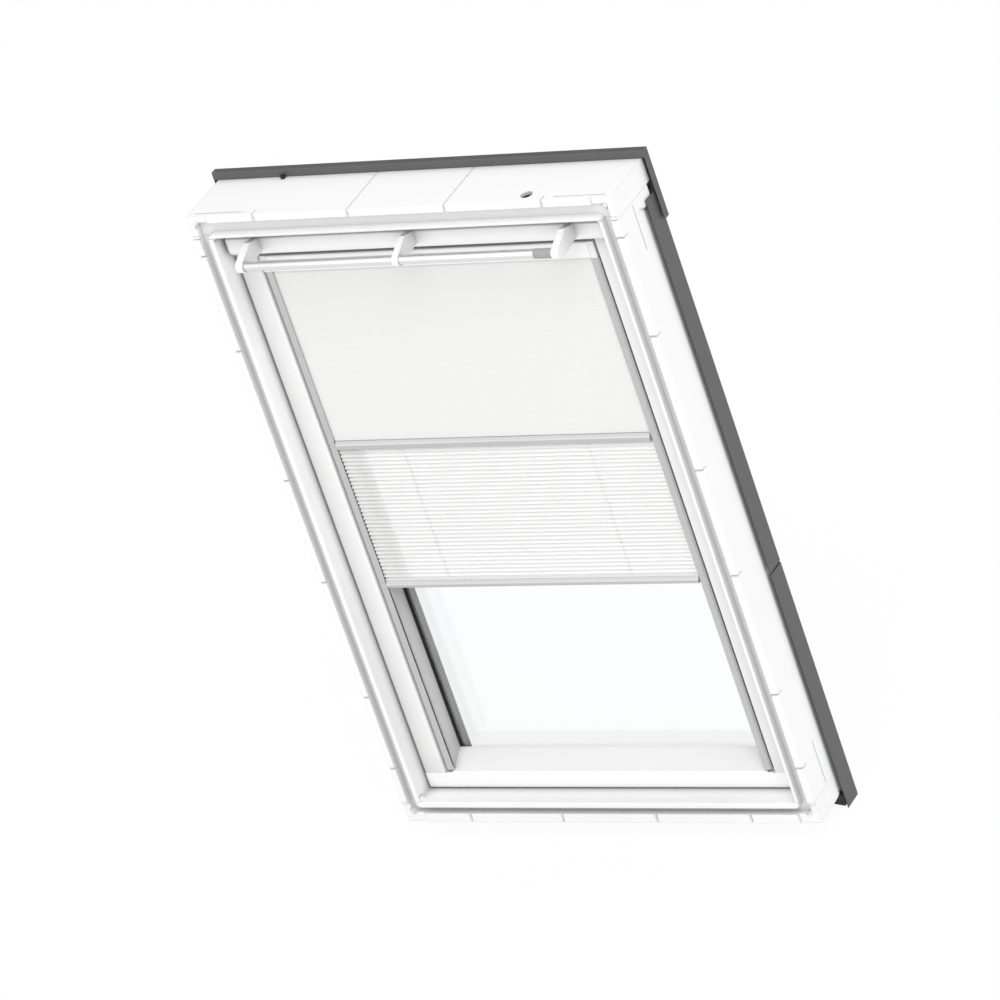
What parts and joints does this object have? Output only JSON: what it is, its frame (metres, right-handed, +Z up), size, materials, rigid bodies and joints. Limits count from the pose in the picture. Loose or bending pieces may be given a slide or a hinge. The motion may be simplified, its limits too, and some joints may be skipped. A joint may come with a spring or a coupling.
{
  "type": "skylight window blind",
  "caption": "White centre-pivot roof window with a blackout roller and pleated blind in side rails, a ventilation flap with a control bar, and grey outer covers.",
  "frame": {"origin": "the middle of the frame's flat lower face: X = 0 midway between the sides, Y = 0 midway through the frame's depth, Z = 0 on that face", "axes": "+X to the right seen from the room, +Y towards the weather, +Z up along the window"},
  "size_m": [0.796, 0.1773, 1.223],
  "materials": {
    "white_moulding": "smooth white polyurethane",
    "white_lacquer": "smooth white lacquer",
    "grey_cladding": "dark grey powder coat",
    "satin_aluminium": "satin anodised",
    "dark_rubber": "black rubber",
    "grey_plastic": "moulded grey",
    "clear_glass": "clear",
    "spacer_metal": "satin grey",
    "zinc_steel": "zinc plated",
    "blackout_cloth": "coated off-white",
    "pleated_cloth": "thin white",
    "filter_foam": "open grey fleece"
  },
  "bodies": {
    "frame": {"frame_top": "white_moulding", "frame_bottom": "white_moulding", "frame_left": "white_moulding", "frame_right": "white_moulding", "frame_seal": "dark_rubber", "hood": "grey_cladding", "upper_side_cover_left": "grey_cladding", "upper_side_cover_right": "grey_cladding", "frame_pivot_left": "zinc_steel", "frame_pivot_right": "zinc_steel", "striker": "zinc_steel", "cable_grommet": "dark_rubber", "hood_plug": "dark_rubber"},
    "sash": {"sash_top": "white_lacquer", "sash_bottom": "white_lacquer", "sash_left": "white_lacquer", "sash_right": "white_lacquer", "inner_pane": "clear_glass", "outer_pane": "clear_glass", "pane_spacer": "spacer_metal", "glazing_seal": "dark_rubber", "glazing_strip_left": "grey_cladding", "glazing_strip_right": "grey_cladding", "glazing_strip_top": "grey_cladding", "lower_side_cover_left": "grey_cladding", "lower_side_cover_right": "grey_cladding", "bottom_cover": "grey_cladding", "corner_seal_left": "dark_rubber", "corner_seal_right": "dark_rubber", "sash_pivot_left": "zinc_steel", "sash_pivot_right": "zinc_steel", "lock_case": "zinc_steel", "air_filter": "filter_foam", "blind_casing": "white_lacquer", "casing_cap_left": "white_lacquer", "casing_cap_right": "white_lacquer", "side_rail_left": "satin_aluminium", "side_rail_right": "satin_aluminium", "blackout_fabric": "blackout_cloth"},
    "flap": {"ventilation_flap": "white_lacquer", "control_bar": "satin_aluminium", "bracket_left": "white_lacquer", "bracket_middle": "white_lacquer", "bracket_right": "white_lacquer"},
    "latch": {"latch": "zinc_steel"},
    "roller": {"roller_tube": "satin_aluminium", "fabric_roll": "blackout_cloth"},
    "blackout": {"blackout_bar": "satin_aluminium", "blackout_guide_left": "grey_plastic", "blackout_guide_right": "grey_plastic", "pleated_fabric": "pleated_cloth", "pleat_cord_left": "pleated_cloth", "pleat_cord_right": "pleated_cloth"},
    "pleated": {"pleated_bar": "satin_aluminium", "pleated_guide_left": "grey_plastic", "pleated_guide_right": "grey_plastic"}
  },
  "joints": [
    {"name": "sash_pivot", "type": "hinge", "parent": "frame", "child": "sash", "pos_m": [0, 0.045, 0.595], "axis": [1, 0, 0], "range_deg": [0, 160]},
    {"name": "flap_hinge", "type": "hinge", "parent": "sash", "child": "flap", "pos_m": [0, -0.013, 1.0952], "axis": [1, 0, 0], "range_deg": [0, 30]},
    {"name": "latch_slide", "type": "slide", "parent": "sash", "child": "latch", "axis": [0, 0, 1], "range_m": [-0.008, 0]},
    {"name": "blackout_slide", "type": "slide", "parent": "sash", "child": "blackout", "axis": [0, 0, 1], "range_m": [-0.22, 0.31], "deforming": ["blackout_fabric"]},
    {"name": "roller_turn", "type": "hinge", "parent": "sash", "child": "roller", "pos_m": [0, 0.00025, 1.0645], "axis": [1, 0, 0], "range_deg": [-1494, 1062]},
    {"name": "pleated_slide", "type": "slide", "parent": "blackout", "child": "pleated", "axis": [0, 0, 1], "range_m": [-0.12, 0.226], "deforming": ["pleated_fabric", "pleat_cord_left", "pleat_cord_right"]}
  ],
  "couplings": [
    {"joint": "latch_slide", "follows": "flap_hinge", "m_per_rad": -0.01527},
    {"joint": "roller_turn", "follows": "blackout_slide", "rad_per_m": -83.68}
  ]
}
